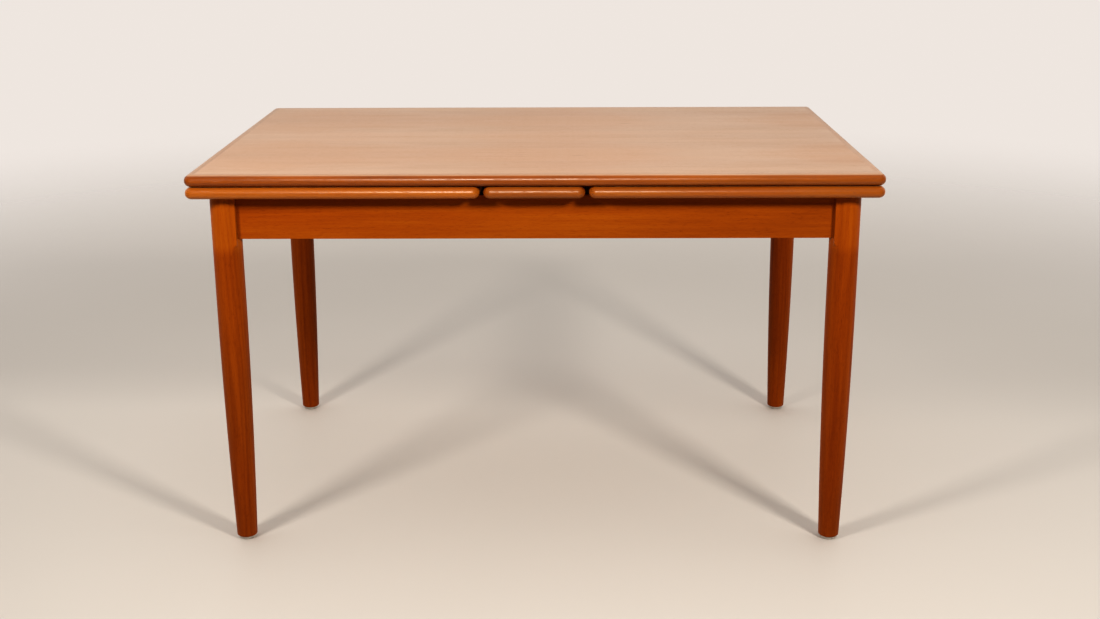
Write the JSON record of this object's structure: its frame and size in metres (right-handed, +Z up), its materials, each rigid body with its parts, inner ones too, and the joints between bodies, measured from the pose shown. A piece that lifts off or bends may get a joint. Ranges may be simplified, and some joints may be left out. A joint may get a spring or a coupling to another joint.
{
  "type": "draw leaf table",
  "caption": "Rectangular draw-leaf dining table: bullnosed loose top over two pull-out end leaves, plain aprons, round tapered legs on glides.",
  "frame": {"origin": "on the floor, under the middle of the table", "axes": "+X along the length to the right leaf, +Y from front to back, +Z up"},
  "size_m": [1.27, 0.856, 0.735],
  "materials": {
    "teak_veneer": "satin oiled teak veneer, straight grain along the length",
    "teak_solid": "satin oiled solid teak, orange red",
    "beech": "plain sanded beech",
    "steel": "zinc plated",
    "nylon": "moulded, slightly worn",
    "felt": "dense brown felt"
  },
  "bodies": {
    "frame": {"apron_back": "teak_solid", "apron_front": "teak_solid", "apron_left": "teak_solid", "apron_right": "teak_solid", "centre_board_edge_back": "teak_solid", "centre_board_edge_front": "teak_solid", "centre_board_edge_left": "teak_solid", "centre_board_edge_right": "teak_solid", "centre_board_panel": "teak_veneer", "corner_block_back_left": "beech", "corner_block_back_right": "beech", "corner_block_front_left": "beech", "corner_block_front_right": "beech", "corner_bolt_back_left": "steel", "corner_bolt_back_right": "steel", "corner_bolt_front_left": "steel", "corner_bolt_front_right": "steel", "cross_rail_left": "beech", "cross_rail_right": "beech", "glide_back_left": "nylon", "glide_back_right": "nylon", "glide_front_left": "nylon", "glide_front_right": "nylon", "leg_back_left": "teak_solid", "leg_back_right": "teak_solid", "leg_front_left": "teak_solid", "leg_front_right": "teak_solid"},
    "left_leaf": {"left_leaf_bearer_back": "beech", "left_leaf_bearer_front": "beech", "left_leaf_edge_back": "teak_solid", "left_leaf_edge_front": "teak_solid", "left_leaf_edge_left": "teak_solid", "left_leaf_edge_right": "teak_solid", "left_leaf_panel": "teak_veneer", "left_leaf_stop_peg_back": "beech", "left_leaf_stop_peg_front": "beech"},
    "right_leaf": {"right_leaf_bearer_back": "beech", "right_leaf_bearer_front": "beech", "right_leaf_edge_back": "teak_solid", "right_leaf_edge_front": "teak_solid", "right_leaf_edge_left": "teak_solid", "right_leaf_edge_right": "teak_solid", "right_leaf_panel": "teak_veneer", "right_leaf_stop_peg_back": "beech", "right_leaf_stop_peg_front": "beech"},
    "top": {"felt_pad_back_left": "felt", "felt_pad_back_right": "felt", "felt_pad_front_left": "felt", "felt_pad_front_right": "felt", "locating_peg_back_left": "beech", "locating_peg_back_right": "beech", "locating_peg_front_left": "beech", "locating_peg_front_right": "beech", "top_edge_back": "teak_solid", "top_edge_front": "teak_solid", "top_edge_left": "teak_solid", "top_edge_right": "teak_solid", "top_panel": "teak_veneer"}
  },
  "joints": [
    {"name": "left_leaf_draw", "type": "slide", "parent": "frame", "child": "left_leaf", "axis": [-1, 0, 0], "range_m": [0, 0.54]},
    {"name": "right_leaf_draw", "type": "slide", "parent": "frame", "child": "right_leaf", "axis": [1, 0, 0], "range_m": [0, 0.54]},
    {"name": "top_lift", "type": "slide", "parent": "frame", "child": "top", "axis": [0, 0, 1], "range_m": [0, 0.03]}
  ]
}
